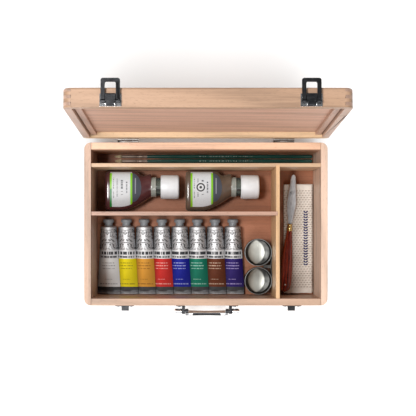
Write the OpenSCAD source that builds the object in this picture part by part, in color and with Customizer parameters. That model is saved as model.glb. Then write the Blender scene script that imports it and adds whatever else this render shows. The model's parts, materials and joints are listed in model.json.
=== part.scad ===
// Wooden art supply box with a hinged lid, two case latches, a drop handle and its contents.
// X runs to the right, Y to the back where the hinges are, and Z up from the underside.

/* [Box] */
// Outer length of the box, left to right
box_length = 330; // [326:1:360]
// Outer width of the box, front to back
box_width = 221; // [220:1:240]
// Height of the base, without the lid
base_height = 94; // [90:1:120]
// Thickness of the walls and lid rails
wall = 9.4; // [9:0.1:10]
// Radius of the upright outer corners
corner_radius = 9; // [6:0.5:9]
// Thickness of the plywood floor
floor_thickness = 4; // [3:0.5:5]
// Thickness of the dividers
divider = 5.2; // [4:0.1:5.4]

/* [Lid] */
// Height of the lid
lid_height = 23; // [22:0.5:30]
// How far the lid stands open
open_angle = 94; // [90:1:110]
// Depth from the lid's mating face to the board inside it
board_depth = 7.6; // [7:0.1:9]
// Radius of the lid's upper outer edges
lid_arris = 3; // [1:0.5:4]

/* [Hardware] */
// Centre of the left latch along X
left_latch_x = -110.4; // [-114:0.1:-108]
// Centre of the right latch along X
right_latch_x = 117; // [108:0.1:118]
// Distance of each hinge from the centre along X
hinge_x = 105.5; // [90:0.5:120]
// Width of a hinge leaf
hinge_leaf = 28.5; // [24:0.5:32]
// Centre of the handle along X
handle_x = 1.9; // [-5:0.1:5]

/* [Paint tubes] */
// Diameter of a tube at its shoulder
tube_diameter = 22.6; // [20:0.2:23]
// Width of the crimped end
crimp_width = 33.6; // [30:0.2:34]
// Distance from tube to tube
tube_pitch = 25.4; // [25.2:0.1:25.4]
// Roll of each tube, so that its crimp lies on the next one
tube_roll = 7; // [6.5:0.5:8]

/* [Hidden] */
$fn = 48;

beech = "burlywood";
plywood = "tan";
steel = "silver";
dark_steel = "dimgray";

half_x = box_length / 2;
half_y = box_width / 2;
inner_x = half_x - wall;
inner_y = half_y - wall;
rim = base_height;
slack = 0.25;

finger = 4;
finger_pitch = 8;
base_fingers = floor((base_height - finger) / finger_pitch) + 1;
base_first = base_height - finger - (base_fingers - 1) * finger_pitch;
lid_fingers = 3;
lid_first = 2.4;
lid_gap = 0.2;

floor_lap = 5;
groove = 3;
divider_top = rim - 1;
brush_divider_y = 80;
short_divider_y = 14.4;
cross_divider_x = 97.6;

panel_thickness = 4;
panel_lap = 5;
board_groove = 2;
strip_width = 7.5;
strip_gap = 1.5;
strip_depth = 3.5;
retaining_pin_y = -56;
retaining_pin_radius = 1.1;
retaining_pin_depth = 1.4;

pivot_y = half_y + 4.5;
barrel = 5;
hinge_wire = 2;
leaf = 1;
leaf_height = 15;
hinge_screw_depth = 9;
knuckle = hinge_leaf / 3;
screw_shank = 2;
screw_length = 7;
screw_head = 4.4;

plate_width = 25;
plate_thickness = 1.2;
plate_bottom = 0.8;
plate_top = 15.5;
lever_pivot = 3.2;
loop_pivot = 6.4;
pivot_proud = 4;
latch_wire = 2;
lever_width = 11.6;
lever_top = 14;
loop_width = 22;
loop_leg = 4.8;
loop_reach = 32.8;
loop_bar = 4.4;
loop_thickness = 1.6;
bore_clearance = 0.05;

keeper_width = 25;
keeper_top = -2;
keeper_bottom = -12;
hook_width = 10.2;
hook_reach = 8.1;
hook_underside = -15;

handle_pivot_y = -half_y - 10.2;
handle_pivot_z = rim - 35;
handle_half = 30.5;
handle_drop = 26;
handle_lean = 5;
grip_radius = 3.4;
arm_radius = 2.1;
bracket_thickness = 4.2;
bracket_flange = 3.2;
bracket_height = 16;
pin_head = 6.9;
pin_head_length = 10.5;
handle_wire = 2.6;

bay_floor = floor_thickness;
tube_count = 8;
tube_length = 93;
crimp_fold = 4;
tube_lift = 11.6;
tube_drop = 4.85;
tube_start_y = -3.6;
last_tube_x = 39.3;
tube_cap_diameter = 15.3;
tube_cap_skirt = 11.8;
nozzle = 4;

bottle_thickness = 38;
bottle_length = 65;
bottle_neck_end = 78;
bottle_back = 22.5;
bottle_front = -34;
bottle_cap_radius = 17.1;
bottle_cap_length = 26;
bottle_y = 53;
left_bottle_x = -141.9;
right_bottle_x = -28.2;

brush_radius = 3.1;
brush_length = 286;
bristle_length = 12;
ferrule_length = 36;
handle_start = bristle_length + ferrule_length;
brush_right = 154.3;
back_brush_y = 97.6;
front_brush_y = 91.1;

cup_radius = 19.4;
cup_height = 25;
cup_x = 75.2;
cup_back_y = -40;
cup_front_y = -80.6;

cloth_thickness = 13;
cloth_x = [112.2, 154.8];
cloth_y = [-98.8, 58.3];
knife_origin = [120.6, 0];
knife_turn = 4.4;
blade_length = 71;
blade_thickness = 0.8;
knife_ferrule_length = 9.5;
knife_handle_length = 87;
handle_thickness = 8;

// ---------- helpers ----------

// Rectangle about the origin with true arcs at its corners.
module rounded_rectangle(length, width, radius) {
    square([length - 2 * radius, width], center = true);
    square([length, width - 2 * radius], center = true);
    for (x = [-1, 1], y = [-1, 1])
        translate([x * (length / 2 - radius), y * (width / 2 - radius)]) circle(radius);
}

// Box between two opposite corners.
module block(low, high) {
    translate(low) cube(high - low);
}

module cylinder_along_x(x0, x1, radius) {
    translate([x0, 0, 0]) rotate([0, 90, 0]) cylinder(h = x1 - x0, r = radius);
}

function bezier(a, b, c, d, steps) = [
    for (i = [0 : steps])
        let (t = i / steps, s = 1 - t)
        s * s * s * a + 3 * s * s * t * b + 3 * s * t * t * c + t * t * t * d
];

// Everything in the lid is written as if the lid were shut, then turned open about the hinge.
module lid_open() {
    translate([0, pivot_y, rim]) rotate([-open_angle, 0, 0]) translate([0, -pivot_y, lid_gap]) children();
}

// Round head and shank of a wood screw whose head sits on a surface at the origin, driven along -Z.
module screw() {
    translate([0, 0, -screw_length - leaf]) cylinder(h = screw_length + leaf, d = screw_shank);
    difference() {
        cylinder(h = 0.9, d1 = screw_head, d2 = screw_head - 1.2);
        translate([-screw_head, -0.3, 0.5]) cube([2 * screw_head, 0.6, 1]);
    }
}

module screw_hole() {
    translate([0, 0, -screw_length - leaf]) cylinder(h = screw_length + 2 * leaf, d = screw_shank);
}

// ---------- places of the screws ----------

module at_hinge_screws(z, proud) {
    for (side = [-1, 1], x = [-9, 9])
        translate([side * hinge_x + x, half_y + proud, z]) rotate([-90, 0, 0]) children();
}

module at_keeper_screws() {
    for (x = [left_latch_x, right_latch_x], side = [-1, 1])
        translate([x + side * 9, -half_y - plate_thickness, rim - 7]) rotate([90, 0, 0]) children();
}

module at_bracket_screws() {
    for (side = [-1, 1], z = [-5, 5])
        translate([handle_x + side * (handle_half + 8), -half_y - bracket_flange, handle_pivot_z + z])
            rotate([90, 0, 0]) children();
}

module at_latch_screws() {
    for (x = [left_latch_x, right_latch_x], side = [-1, 1])
        translate([x + side * 9, -half_y - plate_thickness, 12]) rotate([90, 0, 0]) children();
}

// ---------- base ----------

module base_envelope() {
    linear_extrude(base_height) rounded_rectangle(box_length, box_width, corner_radius);
}

module floor_rebate() {
    block([-inner_x - floor_lap, -inner_y - floor_lap, -1],
          [inner_x + floor_lap, inner_y + floor_lap, floor_thickness]);
}

// The finger sockets at both ends of a front or back board.
module finger_sockets(first, count, low_y, high_y) {
    for (side = [-1, 1], i = [0 : count - 1])
        translate([side * (inner_x + half_x + 1) / 2, (low_y + high_y) / 2, first + i * finger_pitch])
            linear_extrude(finger) square([half_x - inner_x + 1, high_y - low_y + 2], center = true);
}

// A side board with a finger at each socket.
module side_board(side, height, first, count) {
    x0 = side > 0 ? inner_x : -half_x;
    block([x0, -inner_y, 0], [x0 + wall, inner_y, height]);
    for (i = [0 : count - 1]) translate([0, 0, first + i * finger_pitch])
        block([x0, -half_y, 0], [x0 + wall, half_y, finger]);
}

module base_front_wall() {
    color(beech) difference() {
        intersection() {
            base_envelope();
            block([-half_x, -half_y, 0], [half_x, -inner_y, base_height]);
        }
        finger_sockets(base_first, base_fingers, -half_y, -inner_y);
        floor_rebate();
        block([cross_divider_x - divider / 2, -inner_y - groove, 0],
              [cross_divider_x + divider / 2, 0, divider_top]);
        at_keeper_screws() screw_hole();
        at_bracket_screws() screw_hole();
    }
}

module base_back_wall() {
    color(beech) difference() {
        intersection() {
            base_envelope();
            block([-half_x, inner_y, 0], [half_x, half_y, base_height]);
        }
        finger_sockets(base_first, base_fingers, inner_y, half_y);
        floor_rebate();
        at_hinge_screws(rim - hinge_screw_depth, leaf) screw_hole();
    }
}

module base_side_wall(side) {
    color(beech) difference() {
        intersection() {
            base_envelope();
            side_board(side, base_height, base_first, base_fingers);
        }
        floor_rebate();
        children();
    }
}

module divider_slot(side, y) {
    x0 = side > 0 ? inner_x - 1 : -inner_x - groove;
    block([x0, y - divider / 2, 0], [x0 + groove + 1, y + divider / 2, divider_top]);
}

module base_left_wall() {
    base_side_wall(-1) {
        divider_slot(-1, brush_divider_y);
        divider_slot(-1, short_divider_y);
    }
}

module base_right_wall() {
    base_side_wall(1) divider_slot(1, brush_divider_y);
}

module base_floor() {
    color(plywood) translate([0, 0, floor_thickness / 2])
        cube([2 * (inner_x + floor_lap), 2 * (inner_y + floor_lap), floor_thickness], center = true);
}

module brush_divider() {
    color(beech) difference() {
        block([-inner_x - groove, brush_divider_y - divider / 2, floor_thickness],
              [inner_x + groove, brush_divider_y + divider / 2, divider_top]);
        block([cross_divider_x - divider / 2, brush_divider_y - divider, 0],
              [cross_divider_x + divider / 2, brush_divider_y, divider_top]);
    }
}

module cross_divider() {
    color(beech) difference() {
        block([cross_divider_x - divider / 2, -inner_y - groove, floor_thickness],
              [cross_divider_x + divider / 2, brush_divider_y, divider_top]);
        block([cross_divider_x - divider, short_divider_y - divider / 2, 0],
              [cross_divider_x, short_divider_y + divider / 2, divider_top]);
    }
}

module short_divider() {
    color(beech) block([-inner_x - groove, short_divider_y - divider / 2, floor_thickness],
                       [cross_divider_x, short_divider_y + divider / 2, divider_top]);
}

// ---------- hardware on the base ----------

// Strike plate with a down-turned hook that the latch loop pulls against.
module latch_keepers() {
    color(steel) for (x = [left_latch_x, right_latch_x]) translate([x, -half_y, rim]) difference() {
        union() {
            block([-keeper_width / 2, -plate_thickness, keeper_bottom], [keeper_width / 2, 0, keeper_top]);
            block([-hook_width / 2, -plate_thickness, hook_underside], [hook_width / 2, 0, keeper_top]);
            block([-hook_width / 2, -hook_reach, hook_underside], [hook_width / 2, 0, hook_underside + 1.2]);
            block([-hook_width / 2, -hook_reach, hook_underside - 2.4],
                  [hook_width / 2, -hook_reach + 1.2, hook_underside + 1.2]);
        }
        for (side = [-1, 1])
            translate([side * 9, 1, -7]) rotate([90, 0, 0]) cylinder(h = 4, d = screw_shank);
    }
}

// Children are written for the right end, about the middle of the handle's pivot line.
module at_handle_ends() {
    translate([handle_x, handle_pivot_y, handle_pivot_z]) for (side = [-1, 1]) scale([side, 1, 1]) children();
}

module handle_brackets() {
    cheek = handle_half + bracket_thickness;
    color(dark_steel) at_handle_ends() difference() {
        translate([0, -handle_pivot_y, 0]) {
            block([handle_half, -half_y - bracket_flange, -bracket_height / 2],
                  [handle_half + 12.5, -half_y, bracket_height / 2]);
            block([handle_half, handle_pivot_y, -4.2], [cheek, -half_y, 4.2]);
            translate([0, handle_pivot_y, 0]) cylinder_along_x(handle_half, cheek, 4.2);
        }
        cylinder_along_x(handle_half - 1, cheek + 1, handle_wire / 2);
        for (z = [-5, 5])
            translate([handle_half + 8, 1 - half_y - handle_pivot_y, z]) rotate([90, 0, 0])
                cylinder(h = bracket_flange + 2, d = screw_shank);
    }
}

module handle_pins() {
    color(steel) at_handle_ends() {
        cylinder_along_x(handle_half - 5, handle_half + bracket_thickness + 0.5, handle_wire / 2);
        translate([handle_half + bracket_thickness, 0, 0]) rotate([0, 90, 0]) rotate_extrude() polygon([
            [0, 0], [pin_head / 2 - 0.8, 0], [pin_head / 2, 0.8],
            [pin_head / 2, pin_head_length - 1], [pin_head / 2 - 1, pin_head_length], [0, pin_head_length]
        ]);
    }
}

// Bail with a waisted grip; the arms hang from the pins.
module handle_grip() {
    eye = 3.1;
    grip_half = handle_half - 0.3;
    waisted = [for (i = [0 : 12])
        let (u = i / 6 - 1) [grip_radius + 0.9 * u * u, u * grip_half]];
    color(steel) {
        at_handle_ends() difference() {
            union() {
                cylinder_along_x(handle_half - 4.6, grip_half, eye);
                translate([handle_half - 2.45, 0, 0]) rotate([180 - atan2(handle_lean, handle_drop), 0, 0])
                    cylinder(h = norm([handle_lean, handle_drop]), r = arm_radius);
            }
            cylinder_along_x(handle_half - 6, handle_half + 1, handle_wire / 2 + bore_clearance);
        }
        translate([handle_x, handle_pivot_y - handle_lean, handle_pivot_z - handle_drop]) rotate([0, 90, 0])
            rotate_extrude() polygon(concat([[0, -grip_half]], waisted, [[0, grip_half]]));
    }
}

// One leaf of a hinge on a board's back face, with the barrel about the origin.
// side is -1 for the leaf below the barrel and 1 for the leaf above it.
module hinge_leaf_shape(side, knuckles) {
    scale([1, 1, side]) difference() {
        union() {
            block([-hinge_leaf / 2, half_y - pivot_y, barrel / 2 - leaf],
                  [hinge_leaf / 2, half_y - pivot_y + leaf, leaf_height]);
            for (k = knuckles) {
                block([(k - 1.5) * knuckle + 0.1, half_y - pivot_y, barrel / 2 - leaf],
                      [(k - 0.5) * knuckle - 0.1, 0, barrel / 2]);
                cylinder_along_x((k - 1.5) * knuckle + 0.1, (k - 0.5) * knuckle - 0.1, barrel / 2);
            }
        }
        cylinder_along_x(-hinge_leaf, hinge_leaf, hinge_wire / 2 + (side > 0 ? bore_clearance : 0));
        for (x = [-9, 9])
            translate([x, half_y - pivot_y - 1, hinge_screw_depth]) rotate([-90, 0, 0])
                cylinder(h = 4, d = screw_shank);
    }
}

module hinge_base_leaves() {
    color(dark_steel) for (side = [-1, 1])
        translate([side * hinge_x, pivot_y, rim]) hinge_leaf_shape(-1, [0, 2]);
}

module hinge_pins() {
    color(steel) for (side = [-1, 1])
        translate([side * hinge_x, pivot_y, rim])
            cylinder_along_x(-hinge_leaf / 2, hinge_leaf / 2, hinge_wire / 2);
}

module base_screws() {
    color(steel) {
        at_hinge_screws(rim - hinge_screw_depth, leaf) screw();
        at_keeper_screws() screw();
        at_bracket_screws() screw();
    }
}

// ---------- lid ----------

// Cross-section of the shut lid, width wide, with its two upper corners rounded.
module lid_section(width) {
    flat_height = lid_height - lid_arris;
    translate([-width / 2, 0]) square([width, flat_height]);
    translate([lid_arris - width / 2, 0]) square([width - 2 * lid_arris, lid_height]);
    for (side = [-1, 1])
        translate([side * (width / 2 - lid_arris), flat_height]) circle(lid_arris);
}

// Outer form of the shut lid: round upright corners and a rounded upper edge.
module lid_envelope() {
    straight_x = box_length - 2 * corner_radius;
    straight_y = box_width - 2 * corner_radius;
    rotate([90, 0, 90]) linear_extrude(straight_x, center = true) lid_section(box_width);
    rotate([90, 0, 0]) linear_extrude(straight_y, center = true) lid_section(box_length);
    for (x = [-1, 1], y = [-1, 1]) translate([x * straight_x / 2, y * straight_y / 2, 0])
        rotate_extrude() intersection() {
            lid_section(2 * corner_radius);
            square([corner_radius, lid_height]);
        }
}

module panel_rebate() {
    block([-inner_x - panel_lap, -inner_y - panel_lap, lid_height - panel_thickness],
          [inner_x + panel_lap, inner_y + panel_lap, lid_height + 1]);
}

module board_space() {
    block([-inner_x - board_groove, -inner_y - board_groove, board_depth],
          [inner_x + board_groove, inner_y + board_groove, board_depth + panel_thickness]);
}

module lid_long_rail(low_y, high_y) {
    difference() {
        intersection() {
            lid_envelope();
            block([-half_x, low_y, 0], [half_x, high_y, lid_height]);
        }
        finger_sockets(lid_first, lid_fingers, low_y, high_y);
        panel_rebate();
        board_space();
        children();
    }
}

module lid_side_rail(side) {
    difference() {
        intersection() {
            lid_envelope();
            side_board(side, lid_height, lid_first, lid_fingers);
        }
        panel_rebate();
        board_space();
        children();
    }
}

module lid_front_rail() {
    color(beech) lid_open() lid_long_rail(-half_y, -inner_y) at_latch_screws() screw_hole();
}

module lid_back_rail() {
    color(beech) lid_open() lid_long_rail(inner_y, half_y)
        at_hinge_screws(hinge_screw_depth - lid_gap, leaf) screw_hole();
}

module lid_left_rail() {
    color(beech) lid_open() lid_side_rail(-1);
}

module lid_right_rail() {
    color(beech) lid_open() lid_side_rail(1)
        block([inner_x - 1, retaining_pin_y - 1.25, -1], [half_x - 0.6, retaining_pin_y + 1.25, 2.7]);
}

module lid_panel() {
    color(plywood) lid_open() block(
        [-inner_x - panel_lap, -inner_y - panel_lap, lid_height - panel_thickness],
        [inner_x + panel_lap, inner_y + panel_lap, lid_height]);
}

module lid_inner_board() {
    color(plywood) lid_open() board_space();
}

module lid_strips() {
    color(beech) lid_open() for (side = [-1, 1])
        translate([side * (inner_x - strip_gap - strip_width / 2), 0, (board_depth + strip_depth) / 2])
            cube([strip_width, 2 * inner_y - 0.4, board_depth - strip_depth], center = true);
}

// Small steel pin in a slot across the right rail; it slides inward over the strip.
module lid_retaining_pin() {
    color(steel) lid_open() translate([0, retaining_pin_y, retaining_pin_depth])
        cylinder_along_x(inner_x + 1, inner_x + 8.3, retaining_pin_radius);
}

// ---------- hardware on the lid ----------

module hinge_lid_leaves() {
    color(dark_steel) lid_open() for (side = [-1, 1])
        translate([side * hinge_x, pivot_y, -lid_gap]) hinge_leaf_shape(1, [1]);
}

// Children are written for one latch, about the foot of the shut lid's front face.
module at_latches() {
    lid_open() for (x = [left_latch_x, right_latch_x]) translate([x, -half_y, 0]) children();
}

module latch_plates() {
    color(steel) at_latches() difference() {
        block([-plate_width / 2, -plate_thickness, plate_bottom], [plate_width / 2, 0, plate_top]);
        for (side = [-1, 1])
            translate([side * 9, 1, 12]) rotate([90, 0, 0]) cylinder(h = 4, d = screw_shank);
    }
}

// The pin that each lever turns on, with the two lugs that hold its ends on the plate.
module latch_pins() {
    lug = 1.1;
    color(steel) at_latches() {
        for (side = [-1, 1]) translate([side * (lever_width / 2 - lug / 2), 0, 0]) {
            block([-lug / 2, -pivot_proud, lever_pivot - 2],
                  [lug / 2, -plate_thickness, lever_pivot + 2]);
            translate([0, -pivot_proud, lever_pivot]) cylinder_along_x(-lug / 2, lug / 2, 2);
        }
        translate([0, -pivot_proud, lever_pivot])
            cylinder_along_x(-lever_width / 2, lever_width / 2, latch_wire / 2);
    }
}

module lid_screws() {
    color(steel) lid_open() {
        at_hinge_screws(hinge_screw_depth - lid_gap, leaf) screw();
        at_latch_screws() screw();
    }
}

// Lever with its pivot barrel, its front plate and the cross pin that carries the loop.
module latch_lever(x) {
    barrel_half = lever_width / 2 - 1.2;
    lever_half = lever_width / 2;
    pin_half = loop_width / 2 + 0.6;
    front = pivot_proud + 1.6;
    color(dark_steel) lid_open() translate([x, -half_y, 0]) difference() {
        union() {
            translate([0, -pivot_proud, lever_pivot]) cylinder_along_x(-barrel_half, barrel_half, 1.9);
            translate([0, -pivot_proud, loop_pivot]) cylinder_along_x(-pin_half, pin_half, latch_wire / 2);
            block([-barrel_half, -front, lever_pivot], [barrel_half, -pivot_proud - 0.4, loop_pivot]);
            block([-barrel_half, -front - 0.6, 2.3], [barrel_half, -front + 0.6, lever_top]);
            block([-lever_half, -front - 0.6, loop_pivot - 0.8], [lever_half, -front + 0.6, lever_top]);
            translate([0, -front + 0.9, lever_top - 0.2]) cylinder_along_x(-lever_half, lever_half, 1.5);
        }
        translate([0, -pivot_proud, lever_pivot])
            cylinder_along_x(-lever_width, lever_width, latch_wire / 2 + bore_clearance);
    }
}

module left_latch_lever() latch_lever(left_latch_x);

module right_latch_lever() latch_lever(right_latch_x);

// Stamped frame that swings down over the keeper.
module latch_loop(x) {
    frame_length = loop_reach - loop_pivot;
    window_width = loop_width - 2 * loop_leg;
    window_length = frame_length - loop_bar + 6;
    color(dark_steel) lid_open() translate([x, -half_y - pivot_proud, 0]) difference() {
        union() {
            rotate([90, 0, 0]) linear_extrude(loop_thickness, center = true) difference() {
                translate([0, loop_reach - frame_length / 2])
                    rounded_rectangle(loop_width, frame_length, 2.8);
                translate([0, loop_reach - loop_bar - window_length / 2])
                    rounded_rectangle(window_width, window_length, 2);
            }
            for (side = [-1, 1]) translate([side * (loop_width - loop_leg) / 2, 0, loop_pivot])
                cylinder_along_x(-loop_leg / 2, loop_leg / 2, 2);
        }
        translate([0, 0, loop_pivot])
            cylinder_along_x(-loop_width, loop_width, latch_wire / 2 + bore_clearance);
    }
}

module left_latch_loop() latch_loop(left_latch_x);

module right_latch_loop() latch_loop(right_latch_x);

// ---------- paint tubes ----------

function tube_x(k) = last_tube_x - (tube_count - k) * tube_pitch;

// Places a tube whose axis runs along Y with its shoulder at the origin and its crimp at -Y.
module at_tube(k) {
    translate([tube_x(k), tube_start_y, bay_floor + tube_lift]) rotate([tube_drop, 0, 0])
        rotate([0, -tube_roll, 0]) children();
}

// Ring of a tube's wall: round at the shoulder, then a flatter and wider lens towards the crimp.
function tube_ring(t, sides) =
    let (
        half_width = (1 - t) * tube_diameter / 2 + t * crimp_width / 2,
        half_height = (1 - t) * tube_diameter / 2 + t * 1.1,
        sharpness = 1 + min(1, 2.5 * t)
    )
    [for (i = [0 : sides - 1])
        let (a = 360 * (i + 0.5) / sides)
        [half_width * cos(a), -t * tube_length, half_height * sign(sin(a)) * pow(abs(sin(a)), sharpness)]];

module tube_wall() {
    sides = 24;
    rings = 8;
    points = [for (r = [0 : rings - 1]) each tube_ring(r / (rings - 1), sides)];
    walls = [for (r = [0 : rings - 2], i = [0 : sides - 1])
        let (j = (i + 1) % sides, a = r * sides, b = (r + 1) * sides)
        each [[a + i, b + i, b + j], [a + i, b + j, a + j]]];
    first = [for (i = [0 : sides - 1]) i];
    last = [for (i = [sides - 1 : -1 : 0]) (rings - 1) * sides + i];
    polyhedron(points, concat(walls, [last], [first]));
}

module tube(k) {
    color("gainsboro") at_tube(k) {
        tube_wall();
        block([-crimp_width / 2, -tube_length - crimp_fold, -1.3],
              [crimp_width / 2, -tube_length + 0.4, 1.3]);
        rotate([-90, 0, 0]) rotate_extrude() polygon([
            [0, -1], [tube_diameter / 2 - 0.6, -1], [tube_diameter / 2 - 0.6, 0], [tube_cap_skirt / 2, 1.6],
            [nozzle, 1.6], [nozzle, 9], [0, 9]
        ]);
    }
}

module tube_cap(k) {
    flare = 6.4;
    top = 11.2;
    bore = nozzle + 0.3;
    color("lightgray") at_tube(k) rotate([-90, 0, 0]) rotate_extrude() polygon([
        [bore, 1.9], [tube_cap_skirt / 2, 1.9], [tube_cap_skirt / 2, flare], [tube_cap_diameter / 2, flare],
        [tube_cap_diameter / 2, top - 0.8], [tube_cap_diameter / 2 - 0.8, top], [0, top],
        [0, 9.3], [bore, 9.3]
    ]);
}

// ---------- bottles ----------

// Outline of a bottle lying on its side, base at the origin, with its neck off centre.
function bottle_outline() = concat(
    [[0, bottle_front + 4], [1.2, bottle_front + 1.2], [4, bottle_front]],
    bezier([20, bottle_front], [36, bottle_front], [48, -25], [bottle_length, -14.4], 10),
    bezier([bottle_length, 17.8], [61, 20.4], [57, 15.6], [52, 16.8], 6),
    bezier([51, 17.2], [47.5, 18.6], [47, bottle_back], [40, bottle_back], 6),
    [[4, bottle_back], [1.2, bottle_back - 1.2], [0, bottle_back - 4]]
);

module bottle(x) {
    middle = (bottle_back + bottle_front) / 2;
    color("saddlebrown") translate([x, bottle_y, bay_floor + slack + bottle_thickness / 2]) {
        intersection() {
            linear_extrude(bottle_thickness, center = true) polygon(bottle_outline());
            translate([-1, middle, 0]) rotate([90, 0, 90]) linear_extrude(bottle_length + 2)
                rounded_rectangle(bottle_back - bottle_front, bottle_thickness, 13);
        }
        cylinder_along_x(bottle_length - 1, bottle_neck_end - 0.6, 14.6);
        cylinder_along_x(bottle_length, bottle_neck_end + bottle_cap_length - 4, 12);
    }
}

module bottle_cap(x) {
    bore = 12.3;
    r = bottle_cap_radius;
    end = bottle_cap_length;
    color("white") translate([x + bottle_neck_end + 0.6, bottle_y, bay_floor + slack + bottle_thickness / 2])
        rotate([0, 90, 0]) rotate_extrude() polygon([
            [bore, 0], [r, 0], [r, end - 2], [r - 2, end], [0, end], [0, end - 3], [bore, end - 3]
        ]);
}

module left_bottle() bottle(left_bottle_x);

module left_bottle_cap() bottle_cap(left_bottle_x);

module right_bottle() bottle(right_bottle_x);

module right_bottle_cap() bottle_cap(right_bottle_x);

// ---------- brushes ----------

// A brush lies along X with its bristles to the left; children rise along Z from that far along it.
module at_brush(y, along) {
    translate([brush_right - brush_length + along, y, bay_floor + slack + brush_radius])
        rotate([0, 90, 0]) children();
}

module brush_handle(y) {
    wood_length = brush_length - handle_start;
    color("darkslategray") at_brush(y, handle_start) rotate_extrude() polygon(concat(
        [[0, -8], [2, -8], [2, 0]],
        bezier([2.5, 0], [brush_radius + 0.1, 20], [brush_radius, 80], [2.9, wood_length - 2], 8),
        [[1.6, wood_length], [0, wood_length]]
    ));
}

module brush_head(y) {
    color("silver") at_brush(y, bristle_length) rotate_extrude() polygon([
        [2, ferrule_length - 8], [2, ferrule_length], [2.5, ferrule_length], [2.6, 12], [2.3, 0],
        [2, -bristle_length + 3], [0.8, -bristle_length], [0, -bristle_length], [0, ferrule_length - 8]
    ]);
}

module back_brush_handle() brush_handle(back_brush_y);

module back_brush_head() brush_head(back_brush_y);

module front_brush_handle() brush_handle(front_brush_y);

module front_brush_head() brush_head(front_brush_y);

// ---------- palette knife, dipper and cloth ----------

// The knife lies on the cloth; its ferrule starts at the origin and the blade points to +Y.
module at_knife() {
    cloth_top = bay_floor + slack + cloth_thickness;
    translate([knife_origin[0], knife_origin[1], cloth_top + 0.3 + handle_thickness / 2])
        rotate([0, 0, -knife_turn]) children();
}

module knife_blade() {
    right_edge = bezier([3.2, 0], [4.2, 12], [7, 24], [6.4, 34], 6);
    tip = [for (a = [0 : 30 : 180]) [3.2 * cos(a), blade_length - 3.2 + 3.2 * sin(a)]];
    left_edge = [for (i = [6 : -1 : 0]) [-right_edge[i][0], right_edge[i][1]]];
    color(steel) at_knife() {
        translate([0, 0, -blade_thickness / 2]) linear_extrude(blade_thickness)
            polygon(concat(right_edge, tip, left_edge));
        rotate([90, 0, 0]) translate([0, 0, -0.2]) cylinder(h = knife_ferrule_length + 10, r = 1.4);
    }
}

module knife_ferrule() {
    color("goldenrod") at_knife() rotate([90, 0, 0]) difference() {
        cylinder(h = knife_ferrule_length, r1 = 3.4, r2 = 3.9);
        translate([0, 0, -1]) cylinder(h = knife_ferrule_length + 2, r = 1.4);
    }
}

module knife_handle() {
    end = -knife_ferrule_length - knife_handle_length;
    start = -knife_ferrule_length;
    color("brown") at_knife() difference() {
        translate([0, 0, -handle_thickness / 2]) linear_extrude(handle_thickness) polygon(concat(
            bezier([3.8, start], [5, start - 30], [8, start - 48], [6.6, end + 16], 8),
            bezier([4, end + 6], [2, end], [-3, end - 1], [-5.5, end + 6], 5),
            bezier([-8.4, end + 22], [-8.6, start - 52], [-6, start - 30], [-3.8, start], 8)
        ));
        rotate([90, 0, 0]) cylinder(h = knife_ferrule_length + 10, r = 1.4);
        translate([-0.5, end + 10, -handle_thickness]) cylinder(h = 2 * handle_thickness, r = 1.3);
    }
}

// Two open cups soldered to a spring clip that grips a palette's edge.
module double_dipper() {
    thickness = 0.8;
    clip_x = cup_x + cup_radius - 1.4;
    color(steel) translate([0, 0, bay_floor + slack]) {
        for (y = [cup_back_y, cup_front_y]) translate([cup_x, y, 0]) difference() {
            cylinder(h = cup_height, r = cup_radius);
            translate([0, 0, 1]) cylinder(h = cup_height, r = cup_radius - thickness);
        }
        block([cup_x + 7, -63, 8], [clip_x + 1, -57.6, 20]);
        block([clip_x, -74, 5], [clip_x + 1, -46.6, 23]);
    }
}

module cloth() {
    color("antiquewhite") block(
        [cloth_x[0], cloth_y[0], bay_floor + slack],
        [cloth_x[1], cloth_y[1], bay_floor + slack + cloth_thickness]);
}

// ---------- nodes ----------

base_front_wall();
base_back_wall();
base_left_wall();
base_right_wall();
base_floor();
brush_divider();
cross_divider();
short_divider();
latch_keepers();
handle_brackets();
handle_pins();
handle_grip();
hinge_base_leaves();
hinge_pins();
base_screws();
lid_front_rail();
lid_back_rail();
lid_left_rail();
lid_right_rail();
lid_panel();
lid_inner_board();
lid_strips();
hinge_lid_leaves();
latch_plates();
latch_pins();
lid_screws();
lid_retaining_pin();
left_latch_lever();
right_latch_lever();
left_latch_loop();
right_latch_loop();
tube(1);  // tube_1
tube(2);  // tube_2
tube(3);  // tube_3
tube(4);  // tube_4
tube(5);  // tube_5
tube(6);  // tube_6
tube(7);  // tube_7
tube(8);  // tube_8
tube_cap(1);  // tube_cap_1
tube_cap(2);  // tube_cap_2
tube_cap(3);  // tube_cap_3
tube_cap(4);  // tube_cap_4
tube_cap(5);  // tube_cap_5
tube_cap(6);  // tube_cap_6
tube_cap(7);  // tube_cap_7
tube_cap(8);  // tube_cap_8
left_bottle();
left_bottle_cap();
right_bottle();
right_bottle_cap();
back_brush_handle();
back_brush_head();
front_brush_handle();
front_brush_head();
knife_blade();
knife_ferrule();
knife_handle();
double_dipper();
cloth();
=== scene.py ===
"""Looks of a wooden art supply box with its lid open, its hardware and its contents."""

import json
import math
import random

import bmesh
import bpy
from mathutils import Matrix, Vector, noise

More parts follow.
